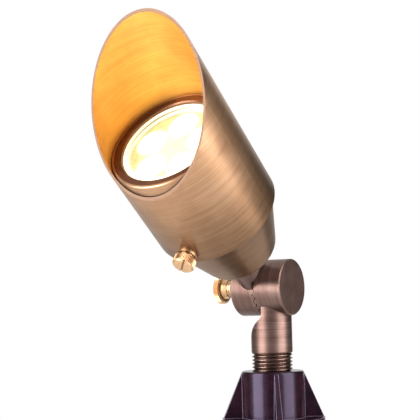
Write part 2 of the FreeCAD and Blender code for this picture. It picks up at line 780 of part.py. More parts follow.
# ---- shroud --------------------------------------------------------------------------------
def shroud():
    long_z = shroud_cut_z + shroud_radius * math.tan(math.radians(shroud_cut_deg)) + spare
    body = rod(shroud_radius, shroud_back_z, long_z)
    back_edge = [e for e in body.Edges if e.BoundBox.ZMax < shroud_back_z + edge_tolerance]
    body = body.makeChamfer(shroud_edge_chamfer, back_edge)
    body = body.cut(rod(shroud_inner_radius, shroud_back_z - spare, long_z + spare))
    reach = 3 * shroud_radius
    cutter = block(-reach, reach, -reach, reach, 0, 2 * reach)
    cutter.rotate(ORIGIN, X_AXIS, shroud_cut_deg)
    cutter.translate(vec(0, 0, shroud_cut_z))
    body = body.cut(cutter)
    body = body.cut(rod(bush_radius, -shroud_radius - spare, 0, Y_AXIS, vec(0, 0, small_screw_z)))
    return spun(one_solid(body), shroud_turn_deg)


def shroud_screw_bush():
    """A threaded bush pressed in the shroud's thin wall, with a flange outside."""
    centre = vec(0, 0, small_screw_z)
    flange_out = shroud_radius + bush_flange_height
    barrel = rod(bush_radius, -flange_out, -shroud_inner_radius - bush_inner_gap, Y_AXIS, centre)
    flange = rod(bush_flange_radius, -flange_out, -shroud_inner_radius, Y_AXIS, centre)
    body = barrel.fuse(flange.cut(rod(shroud_radius, 0, 2 * small_screw_z)))
    body = body.cut(rod(small_shank_radius + small_shank_clearance, -flange_out - spare, 0, Y_AXIS, centre))
    return spun(one_solid(body), shroud_turn_deg)


def shroud_thumbscrew():
    """A slotted knurled-head screw that bears on the housing through the shroud's wall."""
    centre = vec(0, 0, small_screw_z)
    head_in = shroud_radius + small_head_lift
    head_out = head_in + small_head_thickness
    collar_in = shroud_radius + bush_flange_height + small_shank_clearance
    tip = shroud_inner_radius + small_tip_back
    head = rod(small_head_radius, -head_out, -head_in, Y_AXIS, centre)
    collar = rod(small_collar_radius, -head_in, -collar_in, Y_AXIS, centre)
    shank = rod(small_shank_radius, -collar_in, -tip, Y_AXIS, centre)
    half = small_slot_width / 2
    reach = small_head_radius + spare
    slot = block(-half, half, -head_out - spare, -head_out + small_slot_depth, -reach, reach)
    slot.translate(centre)
    return spun(one_solid(head.fuse(collar).fuse(shank).cut(slot)), shroud_turn_deg)


# ---- knuckle thumbscrew --------------------------------------------------------------------
def knuckle_thumbscrew():
    """The knurled screw that draws the two toothed barrels together."""
    face_x = mating_plane_x - upper_barrel_length
    collar_x = face_x - big_collar_length
    cone_x = collar_x - big_cone_length
    head_x = cone_x - big_head_thickness
    tip_x = mating_plane_x + big_shank_reach
    head = rod(big_head_radius, head_x, cone_x, X_AXIS, KNUCKLE)
    cone_foot = KNUCKLE + X_AXIS * cone_x
    cone = Part.makeCone(big_cone_radius, big_collar_radius, big_cone_length, cone_foot, X_AXIS)
    collar = rod(big_collar_radius, collar_x, face_x - big_shank_clearance, X_AXIS, KNUCKLE)
    shank = rod(big_shank_radius, face_x - big_shank_clearance, tip_x, X_AXIS, KNUCKLE)
    return one_solid(head.multiFuse([cone, collar, shank]))


# ---- build and write -----------------------------------------------------------------------
fixed_pieces = (
    ground_stake,
    lower_knuckle,
    stem_wire_seal,
    knuckle_o_ring,
    upper_knuckle,
    knuckle_thumbscrew,
)
head_pieces = (
    neck_gasket,
    neck_lock_nut,
    housing,
    housing_o_rings,
    lens_gasket,
    glass_lens,
    lens_retaining_ring,
    lamp_shell,
    lamp_optic,
    lamp_board,
    lamp_leds,
    lamp_pins,
    lamp_socket,
    socket_bracket,
    bracket_screws,
    socket_screws,
    shroud,
    shroud_screw_bush,
    shroud_thumbscrew,
)

for make in fixed_pieces:
    parts[make.__name__] = make()
for make in head_pieces:
    parts[make.__name__] = leaned(make())

os.makedirs("parts", exist_ok=True)
for name, shape in parts.items():
    shape.exportStep("parts/" + name + ".step")
    print(name, len(shape.Solids), shape.isValid(), round(shape.Volume, 1))
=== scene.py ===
"""Garden spike spotlight: finishes, turned and threaded detail, the lit lamp, and a plain studio round it.

Metres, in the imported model's frame: the origin is on the stem's axis at the soil line, +Z up.
"""
import itertools
import json
import math

import bpy
from mathutils import Matrix, Vector


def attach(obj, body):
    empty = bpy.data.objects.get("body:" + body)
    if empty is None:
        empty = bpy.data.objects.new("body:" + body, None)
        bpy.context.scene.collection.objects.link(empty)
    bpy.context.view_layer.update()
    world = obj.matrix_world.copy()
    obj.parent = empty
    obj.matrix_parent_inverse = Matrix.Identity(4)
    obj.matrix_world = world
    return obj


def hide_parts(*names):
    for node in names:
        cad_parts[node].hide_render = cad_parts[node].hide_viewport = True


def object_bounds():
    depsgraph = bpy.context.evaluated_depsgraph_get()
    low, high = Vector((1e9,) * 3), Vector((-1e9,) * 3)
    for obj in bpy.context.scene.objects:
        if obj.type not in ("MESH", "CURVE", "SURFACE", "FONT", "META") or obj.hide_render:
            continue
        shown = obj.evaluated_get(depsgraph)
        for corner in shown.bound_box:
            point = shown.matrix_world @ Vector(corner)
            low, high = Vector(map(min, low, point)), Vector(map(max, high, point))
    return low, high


MM = 0.001
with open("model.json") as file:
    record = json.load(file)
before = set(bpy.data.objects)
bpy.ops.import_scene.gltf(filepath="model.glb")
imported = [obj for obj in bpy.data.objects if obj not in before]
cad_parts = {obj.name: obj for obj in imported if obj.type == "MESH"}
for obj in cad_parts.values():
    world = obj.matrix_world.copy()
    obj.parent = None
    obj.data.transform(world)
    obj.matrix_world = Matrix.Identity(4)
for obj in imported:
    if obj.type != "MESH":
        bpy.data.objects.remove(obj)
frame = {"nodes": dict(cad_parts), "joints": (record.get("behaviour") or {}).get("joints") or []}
cad_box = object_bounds()
nodes = frame["nodes"]
joints = {joint["name"]: joint for joint in frame["joints"]}
scene = bpy.context.scene

# ---- places taken from the frame -----------------------------------------------------------
X_AXIS = Vector((1, 0, 0))
Z_AXIS = Vector((0, 0, 1))
KNUCKLE = Vector(joints["head_tilt"]["pos_m"])
HEAD_AXIS = Vector(joints["shroud_turn"]["axis"])
HEAD_POINT = Vector(joints["shroud_turn"]["pos_m"])
SMALL_SCREW_AXIS = Vector(joints["shroud_screw_turn"]["axis"])
SMALL_SCREW_POINT = Vector(joints["shroud_screw_turn"]["pos_m"])
BIG_SCREW_AXIS = Vector(joints["knuckle_screw_turn"]["axis"])


def axis_frame(point, axis):
    """A matrix whose local Z runs along an axis through a point, with local X across it."""
    side = X_AXIS if abs(axis.dot(X_AXIS)) < 0.9 else Z_AXIS
    x = (side - axis * side.dot(axis)).normalized()
    y = axis.cross(x)
    turn = Matrix((x, y, axis)).transposed().to_4x4()
    return Matrix.Translation(point) @ turn


HEAD = axis_frame(HEAD_POINT, HEAD_AXIS)
BARREL = axis_frame(KNUCKLE, X_AXIS)
STEM = axis_frame(Vector((0, 0, 0)), Z_AXIS)
BIG_SCREW = axis_frame(KNUCKLE, BIG_SCREW_AXIS)
SMALL_SCREW = axis_frame(SMALL_SCREW_POINT, SMALL_SCREW_AXIS)

# ---- sizes of the modelled detail, in millimetres ------------------------------------------
knuckle_radius = 14.6
mating_plane = -2.7          # middle of the meshed teeth, along the knuckle's axis
tooth_reach = 1.6            # the teeth end within this distance of that plane
rear_z = -25.0               # the head's painted shade, with some patina, deepens from mouth_z back to rear_z, along its axis
mouth_z = 30.0
shroud_inner_face = 30.75    # just outside the shroud's inner face
lens_edge = 24.9             # where the glow stops, just inside the retaining ring
lens_spread = 14.8           # lens centres from the lamp's axis
lens_radius = 7.6
lens_count = 5
optic_radius = 23.3
slot_turn_deg = -36          # of the small screw's slot
screw_sharp_deg = 25         # edges that turn by more than this stay sharp on the screws

# ---- finish --------------------------------------------------------------------------------
groove_depth = 0.03          # millimetres, as are the next four
crevice_reach = 2.5
stake_edge_highlight = 0.7
stake_rounding = 0.5
stake_relief = 0.12
fine_share = 0.5             # of the brushing's fine lines in the tone, then its broad ones and its clouds
broad_share = 0.2
cloud_share = 0.3
middle_tone = 0.35           # a tone that a change of contrast leaves about where it is
broad_pitch = 0.16           # of the fine lines' pitch
face_brush_deg = 38          # direction of the brushing across an end face
tangent_flare = 5.0          # leans the highlights' direction outward, for each metre from the axis
middle_light = 2.6           # the lit optic's strength at its middle
rim_light = 0.75             # and outside the lenses
lens_light = 1.7             # added inside each lens
edge_light = 1.05            # strength of the glass's glowing edge


# ---- node helpers --------------------------------------------------------------------------
def add(tree, kind, inputs=None, **settings):
    """A shader node with its settings, whose inputs are sockets to link or values to set."""
    made = tree.nodes.new(kind)
    for key, value in settings.items():
        setattr(made, key, value)
    for key, value in (inputs or {}).items():
        if isinstance(value, bpy.types.NodeSocket):
            tree.links.new(value, made.inputs[key])
        else:
            made.inputs[key].default_value = value
    return made


def maths(tree, operation, *values):
    return add(tree, "ShaderNodeMath", dict(enumerate(values)), operation=operation).outputs[0]


def vector_maths(tree, operation, *values):
    made = add(tree, "ShaderNodeVectorMath", dict(enumerate(values)), operation=operation)
    return made.outputs["Value"] if operation in ("LENGTH", "DOT_PRODUCT") else made.outputs[0]


def ranged(tree, value, low, high, to_low, to_high):
    made = add(tree, "ShaderNodeMapRange", {0: value, 1: low, 2: high, 3: to_low, 4: to_high})
    return made.outputs[0]


def noise(tree, vector, scale, detail=2.0, roughness=0.5):
    inputs = {"Vector": vector, "Scale": scale, "Detail": detail, "Roughness": roughness}
    return add(tree, "ShaderNodeTexNoise", inputs).outputs[0]


def mixed_colour(tree, factor, first, second, blend="MIX"):
    made = add(tree, "ShaderNodeMix", {0: factor, 6: first, 7: second}, data_type="RGBA", blend_type=blend)
    return made.outputs[2]


def mixed_vector(tree, factor, first, second):
    made = add(tree, "ShaderNodeMix", {0: factor, 4: first, 5: second}, data_type="VECTOR")
    return made.outputs[1]


def ramp(tree, value, *stops):
    """A colour ramp from (position, colour) stops."""
    made = add(tree, "ShaderNodeValToRGB", {0: value})
    elements = made.color_ramp.elements
    while len(elements) < len(stops):
        elements.new(0.5)
    for element, (position, colour) in zip(elements, stops):
        element.position = position
        element.color = colour
    return made.outputs[0]


def own_coordinates(tree):
    return add(tree, "ShaderNodeTexCoord").outputs["Object"]


def local_to(tree, place):
    """The object's own coordinates, seen from a frame."""
    inverse = place.inverted()
    inputs = {"Vector": own_coordinates(tree)}
    inputs |= {"Location": inverse.translation, "Rotation": inverse.to_euler()}
    return add(tree, "ShaderNodeMapping", inputs, vector_type="POINT").outputs[0]


def hypotenuse(tree, first, second):
    squares = [maths(tree, "MULTIPLY", side, side) for side in (first, second)]
    return maths(tree, "SQRT", maths(tree, "ADD", *squares))


def from_axis(tree, local):
    """Distance from the Z axis of the frame that the coordinates are in."""
    return vector_maths(tree, "LENGTH", vector_maths(tree, "MULTIPLY", local, (1, 1, 0)))


def along_axis(tree, local):
    return add(tree, "ShaderNodeSeparateXYZ", {0: local}).outputs[2]


def true_normal(tree):
    """The face's normal, in the world's frame."""
    return add(tree, "ShaderNodeNewGeometry").outputs["True Normal"]


def rgba(red, green, blue):
    return (red, green, blue, 1.0)


def new_material(name):
    material = bpy.data.materials.new(name)
    material.use_nodes = True
    tree = material.node_tree
    return material, tree, tree.nodes["Principled BSDF"]


def rounded_normal(tree, radius):
    return add(tree, "ShaderNodeBevel", {"Radius": radius}, samples=6).outputs[0]


def edge_mask(tree, radius, low=0.02, high=0.25):
    """1 along convex and concave edges, 0 on open faces."""
    rounded = rounded_normal(tree, radius)
    plain = add(tree, "ShaderNodeNewGeometry").outputs["Normal"]
    turn = maths(tree, "SUBTRACT", 1.0, vector_maths(tree, "DOT_PRODUCT", rounded, plain))
    return ranged(tree, turn, low, high, 0.0, 1.0)


# ---- metals --------------------------------------------------------------------------------
def brush_inputs(tree, place):
    """Coordinates in the turned piece's frame, and the direction that its highlights stretch in."""
    local = local_to(tree, place)
    axis = place.to_3x3() @ Z_AXIS
    outward = vector_maths(tree, "SUBTRACT", own_coordinates(tree), place.translation)
    lean = add(tree, "ShaderNodeVectorMath", {0: outward, "Scale": tangent_flare}, operation="SCALE").outputs[0]
    across = vector_maths(tree, "ADD", axis, lean)
    return local, across


def crevice(tree):
    """1 on open faces, falling to 0 deep in gaps and corners, where dirt and painted shade go."""
    shade = add(tree, "ShaderNodeAmbientOcclusion", {"Distance": crevice_reach * MM}, samples=8).outputs["AO"]
    return ranged(tree, shade, 0.15, 0.9, 0.0, 1.0)


def end_face(tree, place):
    """1 on faces square to a turned piece's axis, 0 on the ones turned round it."""
    axis = place.to_3x3() @ Z_AXIS
    own = add(tree, "ShaderNodeVectorTransform", {0: true_normal(tree)}, vector_type="NORMAL",
              convert_from="WORLD", convert_to="OBJECT").outputs[0]
    along = maths(tree, "ABSOLUTE", vector_maths(tree, "DOT_PRODUCT", own, axis))
    return ranged(tree, along, 0.9, 0.97, 0.0, 1.0)


def brushing(tree, local, face, streak, contrast):
    """Fine lines round the axis or straight over an end face, and the tone that they help to give."""
    lengthwise, pitch = streak
    round_lines = vector_maths(tree, "MULTIPLY", local, (lengthwise, lengthwise, pitch))
    turn = {"Vector": local, "Rotation": (0, 0, math.radians(face_brush_deg))}
    slanted = add(tree, "ShaderNodeMapping", turn).outputs[0]
    face_lines = vector_maths(tree, "MULTIPLY", slanted, (lengthwise * 4, pitch, 0))
    fine = noise(tree, mixed_vector(tree, face, round_lines, face_lines), 1.0, 3.0, 0.6)
    broad_lines = vector_maths(tree, "MULTIPLY", local, (lengthwise, lengthwise, pitch * broad_pitch))
    broad = noise(tree, broad_lines, 1.0, 2.0)
    cloud = noise(tree, local, 55.0, 3.0, 0.6)
    tone = maths(tree, "MULTIPLY", fine, fine_share * contrast)
    tone = maths(tree, "ADD", tone, maths(tree, "MULTIPLY", broad, broad_share * contrast))
    tone = maths(tree, "ADD", tone, maths(tree, "MULTIPLY", cloud, cloud_share))
    return fine, maths(tree, "ADD", tone, middle_tone * (1 - contrast))


def painted_rear_shade(tree, local, colour, rear):
    """The colour, darker towards the head's rear with painted shade and some patina, where the given share of
    it is left.
    """
    share = ranged(tree, along_axis(tree, local), rear_z * MM, mouth_z * MM, rear, 1.0)
    shade = add(tree, "ShaderNodeCombineColor", {0: share, 1: share, 2: share}).outputs[0]
    return mixed_colour(tree, 1.0, colour, shade, "MULTIPLY")


def cut_face(tree):
    """1 on the shroud's oblique cut, 0 on its walls.

    It compares the normal with the head's stored axis in the world's frame, so it is right only
    while the head keeps its stored lean.
    """
    facing = maths(tree, "ABSOLUTE", vector_maths(tree, "DOT_PRODUCT", true_normal(tree), HEAD_AXIS))
    return ranged(tree, facing, 0.2, 0.3, 0.0, 1.0)


def brushed_metal(name, colours, streak=(30, 3000), roughness=(0.3, 0.44), places=(HEAD,), mask=None,
                  wear_and_highlight=None, edge_radius=None, stretch=0.65, painted_inside_glow=None, contrast=1.0, dirt_and_shade=None,
                  gap_shade=False, rear=None):
    """Metal turned or brushed round an axis; a mask picks the second of two axes.

    `wear_and_highlight` colours the edges over edge_radius millimetres as wear and painted highlight,
    `dirt_and_shade` the crevices as dirt and painted shade, and `gap_shade` paints shade on the flanks of the
    meshed teeth. `rear` is the share of the colour left at the head's rear under painted shade, and
    `painted_inside_glow` holds the two tones of painted lamp light on the shroud's inside.
    """
    material, tree, shader = new_material(name)
    local, across = brush_inputs(tree, places[0])
    face = end_face(tree, places[0])
    if mask:
        other_local, other_across = brush_inputs(tree, places[1])
        pick = mask(tree)
        local = mixed_vector(tree, pick, local, other_local)
        across = mixed_vector(tree, pick, across, other_across)
        face = maths(tree, "MULTIPLY", face, maths(tree, "SUBTRACT", 1.0, pick))
    fine, tone = brushing(tree, local, face, streak, contrast)
    dark, middle, light = colours
    colour = ramp(tree, tone, (0.34, dark), (0.5, middle), (0.68, light))
    # painted shade, with some patina: darker towards the head's rear
    if rear:
        colour = painted_rear_shade(tree, local, colour, rear)
    # dirt and painted shade: crevices take the dark colour where ambient occlusion finds them
    if dirt_and_shade:
        colour = mixed_colour(tree, crevice(tree), dirt_and_shade, colour)
    # wear and painted highlight: edges take a lighter colour
    if wear_and_highlight:
        colour = mixed_colour(tree, edge_mask(tree, edge_radius * MM), colour, wear_and_highlight)
    # painted shade in the gap between the meshed teeth
    if gap_shade:
        colour = mixed_colour(tree, tooth_gap_shade(tree), colour, PATINA_AND_SHADE)
    rough = ranged(tree, fine, 0.3, 0.7, *roughness)
    # painted lamp light: the shroud's inside takes bright orange tones
    if painted_inside_glow:
        inside = maths(tree, "LESS_THAN", from_axis(tree, local), shroud_inner_face * MM)
        lit = mixed_colour(tree, ranged(tree, tone, 0.3, 0.7, 0.0, 1.0), *painted_inside_glow)
        colour = mixed_colour(tree, inside, colour, lit)
        colour = mixed_colour(tree, cut_face(tree), colour, CUT_FACE)
        rough = maths(tree, "ADD", rough, maths(tree, "MULTIPLY", inside, 0.12))
        metallic = maths(tree, "SUBTRACT", 1.0, maths(tree, "MULTIPLY", inside, 0.35))
        tree.links.new(metallic, shader.inputs["Metallic"])
    else:
        shader.inputs["Metallic"].default_value = 1.0
    bump = add(tree, "ShaderNodeBump", {"Strength": 0.5, "Distance": groove_depth * MM, "Height": fine})
    tangent = add(tree, "ShaderNodeVectorTransform", {0: across}, vector_type="VECTOR",
                  convert_from="OBJECT", convert_to="WORLD")
    links = {
        "Base Color": colour,
        "Roughness": rough,
        "Normal": bump.outputs[0],
        "Tangent": tangent.outputs[0],
    }
    if stretch:
        links["Anisotropic"] = ranged(tree, face, 0.0, 1.0, stretch, 0.0)
    for key, socket in links.items():
        tree.links.new(socket, shader.inputs[key])
    return material


def tooth_gap_shade(tree):
    """1 on the flanks of the meshed teeth, where painted shade darkens the gap between them, 0 on the barrels'
    outsides.
    """
    local = local_to(tree, BARREL)
    within = maths(tree, "LESS_THAN", from_axis(tree, local), (knuckle_radius - 0.08) * MM)
    near = maths(tree, "COMPARE", along_axis(tree, local), mating_plane * MM, tooth_reach * MM)
    return maths(tree, "MULTIPLY", within, near)


def off_barrel(tree):
    """1 on the stem, outside the knuckle's round barrel."""
    radial = from_axis(tree, local_to(tree, BARREL))
    return maths(tree, "GREATER_THAN", radial, (knuckle_radius + 0.1) * MM)


BRONZE = (rgba(0.31, 0.165, 0.088), rgba(0.47, 0.268, 0.15), rgba(0.63, 0.395, 0.24))
KNUCKLE_BRONZE = (rgba(0.095, 0.052, 0.043), rgba(0.17, 0.104, 0.087), rgba(0.26, 0.175, 0.15))
DARK_BRONZE = (rgba(0.08, 0.036, 0.022), rgba(0.15, 0.07, 0.042), rgba(0.22, 0.115, 0.07))
BRASS = (rgba(0.5, 0.3, 0.15), rgba(0.67, 0.43, 0.24), rgba(0.84, 0.6, 0.38))
PLATING = (rgba(0.5, 0.5, 0.5), rgba(0.66, 0.66, 0.66), rgba(0.78, 0.78, 0.78))
ALUMINIUM = (rgba(0.52, 0.52, 0.53), rgba(0.68, 0.68, 0.69), rgba(0.8, 0.8, 0.81))
# lighter edges: partly wear, partly painted highlight
WORN_AND_LIT_EDGE = rgba(0.72, 0.47, 0.32)
# dark patina in hollows, and painted shade in crevices and between the teeth
PATINA_AND_SHADE = rgba(0.035, 0.018, 0.014)
CUT_FACE = rgba(0.1, 0.06, 0.04)
# grime and painted shade in the screws' crevices
GRIME_AND_SHADE = rgba(0.22, 0.09, 0.03)

# the inside tones are painted lamp light
shroud_metal = brushed_metal("shroud_bronze", BRONZE, wear_and_highlight=WORN_AND_LIT_EDGE, edge_radius=0.12, contrast=0.85,
                             rear=0.4, painted_inside_glow=(rgba(0.5, 0.21, 0.03), rgba(0.95, 0.5, 0.1)))
housing_metal = brushed_metal("housing_bronze", BRONZE, wear_and_highlight=WORN_AND_LIT_EDGE, edge_radius=0.2, contrast=0.85,
                              rear=0.4, dirt_and_shade=PATINA_AND_SHADE)
ring_metal = brushed_metal("ring_bronze", DARK_BRONZE, wear_and_highlight=WORN_AND_LIT_EDGE, edge_radius=0.25, roughness=(0.3, 0.4))
knuckle_look = {"wear_and_highlight": WORN_AND_LIT_EDGE, "edge_radius": 0.25, "dirt_and_shade": PATINA_AND_SHADE, "roughness": (0.4, 0.52),
                "contrast": 1.3, "gap_shade": True}
upper_metal = brushed_metal("upper_knuckle_bronze", KNUCKLE_BRONZE, places=(BARREL,), **knuckle_look)
lower_metal = brushed_metal("lower_knuckle_bronze", KNUCKLE_BRONZE, places=(BARREL, STEM), mask=off_barrel,
                            **knuckle_look)
thread_metal = brushed_metal("thread_bronze", KNUCKLE_BRONZE, places=(STEM,), streak=(60, 900),
                             roughness=(0.28, 0.36), wear_and_highlight=rgba(0.6, 0.42, 0.3), edge_radius=0.15)
big_screw_metal = brushed_metal("knuckle_screw_brass", BRASS, places=(BIG_SCREW,), streak=(70, 2600),
                                roughness=(0.36, 0.46), dirt_and_shade=GRIME_AND_SHADE)
small_screw_metal = brushed_metal("shroud_screw_brass", BRASS, places=(SMALL_SCREW,), streak=(90, 2600),
                                  roughness=(0.4, 0.52), dirt_and_shade=GRIME_AND_SHADE)
plated_metal = brushed_metal("plated_steel", PLATING, streak=(90, 2000), roughness=(0.28, 0.38))
cast_metal = brushed_metal("lamp_aluminium", ALUMINIUM, streak=(200, 420), roughness=(0.4, 0.55), stretch=0.0)


# ---- plastics, rubber, glass ---------------------------------------------------------------
def glossy_stake():
    """Nearly black moulded plastic with a soft orange-peel surface, rounded edges lightened by a painted
    highlight, and a violet sheen.
    """
    material, tree, shader = new_material("stake_plastic")
    source = own_coordinates(tree)
    grain = noise(tree, source, 900.0, 3.0, 0.6)
    swell = noise(tree, source, 130.0, 2.0)
    height = maths(tree, "ADD", maths(tree, "MULTIPLY", grain, 0.12), swell)
    inputs = {"Strength": 0.35, "Distance": stake_relief * MM, "Height": height}
    bump = add(tree, "ShaderNodeBump", inputs | {"Normal": rounded_normal(tree, stake_rounding * MM)})
    colour = ramp(tree, swell, (0.35, rgba(0.008, 0.002, 0.004)), (0.7, rgba(0.02, 0.005, 0.009)))
    # painted highlight: the stake's edges turn violet grey
    colour = mixed_colour(tree, edge_mask(tree, stake_edge_highlight * MM, 0.03, 0.3), colour, rgba(0.2, 0.17, 0.24))
    tree.links.new(colour, shader.inputs["Base Color"])
    tree.links.new(bump.outputs[0], shader.inputs["Normal"])
    tree.links.new(ranged(tree, grain, 0.3, 0.7, 0.16, 0.24), shader.inputs["Roughness"])
    shader.inputs["Specular IOR Level"].default_value = 0.34
    shader.inputs["Specular Tint"].default_value = rgba(0.76, 0.64, 1.0)
    return material


def matt_surface(name, dark, light, roughness, scale, relief=0.02):
    """A dull surface with a fine grain, for rubber, ceramic and solder mask."""
    material, tree, shader = new_material(name)
    grain = noise(tree, own_coordinates(tree), scale, 4.0, 0.6)
    bump = add(tree, "ShaderNodeBump", {"Strength": 0.4, "Distance": relief * MM, "Height": grain})
    tree.links.new(ramp(tree, grain, (0.3, dark), (0.7, light)), shader.inputs["Base Color"])
    tree.links.new(bump.outputs[0], shader.inputs["Normal"])
    rough = ranged(tree, grain, 0.3, 0.7, roughness - 0.06, roughness + 0.06)
    tree.links.new(rough, shader.inputs["Roughness"])
    return material


def lens_glass():
    """Thin clear glass that lets nearly all of the light straight through, but for its glowing edge."""
    material, tree, shader = new_material("lens_glass")
    film = noise(tree, own_coordinates(tree), 70.0, 3.0)
    tree.links.new(ramp(tree, film, (0.3, rgba(0.82, 0.86, 0.86)), (0.7, rgba(0.95, 0.97, 0.97))),
                   shader.inputs["Base Color"])
    tree.links.new(ranged(tree, film, 0.3, 0.7, 0.02, 0.05), shader.inputs["Roughness"])
    radial = from_axis(tree, local_to(tree, HEAD))
    glow = ranged(tree, radial, (lens_edge - 3.5) * MM, (lens_edge - 1.5) * MM, 0.0, 1.0)
    glow = maths(tree, "MULTIPLY", glow, maths(tree, "LESS_THAN", radial, lens_edge * MM))
    tree.links.new(ranged(tree, glow, 0.0, 1.0, 0.08, 0.9), shader.inputs["Alpha"])
    tree.links.new(maths(tree, "MULTIPLY", glow, edge_light), shader.inputs["Emission Strength"])
    shader.inputs["Emission Color"].default_value = rgba(1.0, 0.8, 0.36)
    shader.inputs["IOR"].default_value = 1.5
    return material


def lit_optic():
    """The lamp's front plate: bright through each lens and in the middle, dimmer and yellow towards the rim."""
    material, tree, shader = new_material("lit_optic")
    local = local_to(tree, HEAD)
    parts = add(tree, "ShaderNodeSeparateXYZ", {0: local})
    x, y = parts.outputs[0], parts.outputs[1]
    radial = hypotenuse(tree, x, y)
    sector = 2 * math.pi / lens_count
    folded = maths(tree, "WRAP", maths(tree, "ARCTAN2", x, y), sector / 2, -sector / 2)
    outward = maths(tree, "MULTIPLY", radial, maths(tree, "COSINE", folded))
    aside = maths(tree, "MULTIPLY", radial, maths(tree, "SINE", folded))
    reach = hypotenuse(tree, maths(tree, "SUBTRACT", outward, lens_spread * MM), aside)
    in_lens = ranged(tree, reach, (lens_radius + 1.2) * MM, (lens_radius - 0.4) * MM, 0.0, 1.0)
    between = ranged(tree, radial, (lens_spread - 3.0) * MM, (optic_radius - 4.0) * MM, middle_light, rim_light)
    ripple = noise(tree, local, 260.0, 3.0)
    level = maths(tree, "ADD", between, maths(tree, "MULTIPLY", in_lens, lens_light))
    edge_fall = ranged(tree, radial, (optic_radius - 1.5) * MM, optic_radius * MM, 1.0, 0.7)
    level = maths(tree, "MULTIPLY", level, edge_fall)
    level = maths(tree, "MULTIPLY", level, ranged(tree, ripple, 0.3, 0.7, 0.85, 1.15))
    colour = mixed_colour(tree, in_lens, rgba(1.0, 0.86, 0.22), rgba(1.0, 0.84, 0.46))
    tree.links.new(colour, shader.inputs["Emission Color"])
    tree.links.new(level, shader.inputs["Emission Strength"])
    tree.links.new(ramp(tree, ripple, (0.3, rgba(0.12, 0.1, 0.04)), (0.7, rgba(0.2, 0.17, 0.08))),
                   shader.inputs["Base Color"])
    shader.inputs["Roughness"].default_value = 0.15
    return material


rubber = matt_surface("seal_rubber", rgba(0.012, 0.012, 0.012), rgba(0.035, 0.034, 0.033), 0.62, 1400.0)
ceramic = matt_surface("socket_ceramic", rgba(0.62, 0.59, 0.52), rgba(0.8, 0.77, 0.7), 0.55, 700.0)
solder_mask = matt_surface("board_white", rgba(0.7, 0.7, 0.67), rgba(0.84, 0.84, 0.81), 0.42, 1800.0, 0.006)
optic_material = lit_optic()

finishes = {
    "ground_stake": glossy_stake(),
    "lower_knuckle": lower_metal,
    "upper_knuckle": upper_metal,
    "stem_wire_seal": rubber,
    "knuckle_o_ring": rubber,
    "neck_gasket": rubber,
    "housing_o_rings": rubber,
    "lens_gasket": rubber,
    "neck_lock_nut": plated_metal,
    "housing": housing_metal,
    "glass_lens": lens_glass(),
    "lens_retaining_ring": ring_metal,
    "lamp_shell": cast_metal,
    "lamp_optic": optic_material,
    "lamp_leds": optic_material,
    "lamp_board": solder_mask,
    "lamp_pins": plated_metal,
    "lamp_socket": ceramic,
    "socket_bracket": plated_metal,
    "bracket_screws": plated_metal,
    "socket_screws": plated_metal,
    "shroud": shroud_metal,
    "shroud_screw_bush": small_screw_metal,
    "shroud_thumbscrew": small_screw_metal,
    "knuckle_thumbscrew": big_screw_metal,
}
for name, material in finishes.items():
    slots = nodes[name].data.materials
    if len(slots) == 0:
        slots.append(material)
    for index in range(len(slots)):
        slots[index] = material


# ---- modelled pieces -----------------------------------------------------------------------
def mesh_piece(name, points, faces, place, material, body, sharp_deg=35):
    """A mesh object in millimetres of its own frame, put in place and set to ride on a body."""
    mesh = bpy.data.meshes.new(name)
    mesh.from_pydata([place @ (Vector(p) * MM) for p in points], [], faces)
    mesh.validate()
    mesh.polygons.foreach_set("use_smooth", [True] * len(mesh.polygons))
    mesh.set_sharp_from_angle(angle=math.radians(sharp_deg))
    mesh.materials.append(material)
    piece = bpy.data.objects.new(name, mesh)
    scene.collection.objects.link(piece)
    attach(piece, body)
    return piece


def lathe(rings, steps):
    """Points and faces of a closed turned solid; each ring is (radius, z) or (radius function, z)."""
    points = []
    for radius, z in rings:
        for n in range(steps):
            angle = 2 * math.pi * n / steps
            r = radius(angle, z) if callable(radius) else radius
            points.append((r * math.cos(angle), r * math.sin(angle), z))
    faces = []
    for ring in range(len(rings) - 1):
        for n in range(steps):
            m = (n + 1) % steps
            low = ring * steps
            faces.append((low + n, low + m, low + steps + m, low + steps + n))
    first = list(reversed(range(steps)))
    last = [(len(rings) - 1) * steps + n for n in range(steps)]
    return points, faces + [first, last]


def stem_thread():
    """The half-inch pipe thread between the plain stem and the hub, as one helical ridge."""
    pitch = 1.814
    root = 9.3
    crest = 10.6
    foot_z = 26.55
    top_z = 35.7
    crest_share = 0.07           # half widths of the ridge at its crest and root, in pitches
    root_share = 0.49
    per_turn = 72
    low_z = foot_z - pitch / 2
    count = int((top_z + pitch / 2 - low_z) / pitch * per_turn)
    profile = ((root, -root_share), (crest, -crest_share), (crest, crest_share), (root, root_share))
    points = []
    for n in range(count + 1):
        angle = 2 * math.pi * n / per_turn
        z = low_z + pitch * n / per_turn
        for radius, share in profile:
            height = z + share * pitch
            reach = root if height < foot_z else radius
            points.append((reach * math.cos(angle), reach * math.sin(angle), height))
    faces = []
    for n in range(count):
        a, b = 4 * n, 4 * (n + 1)
        for k in range(4):
            m = (k + 1) % 4
            faces.append((a + k, a + m, b + m, b + k))
    faces.append((3, 2, 1, 0))
    faces.append((4 * count, 4 * count + 1, 4 * count + 2, 4 * count + 3))
    mesh_piece("stem_thread", points, faces, STEM, thread_metal, "stem", 20)


def straight_knurl(teeth, root, crest):
    """Radius of a straight knurl: sharp ridges that run along the axis."""
    def radius(angle, z):
        phase = angle * teeth / (2 * math.pi) % 1.0
        return root + (crest - root) * (1 - abs(2 * phase - 1))
    return radius


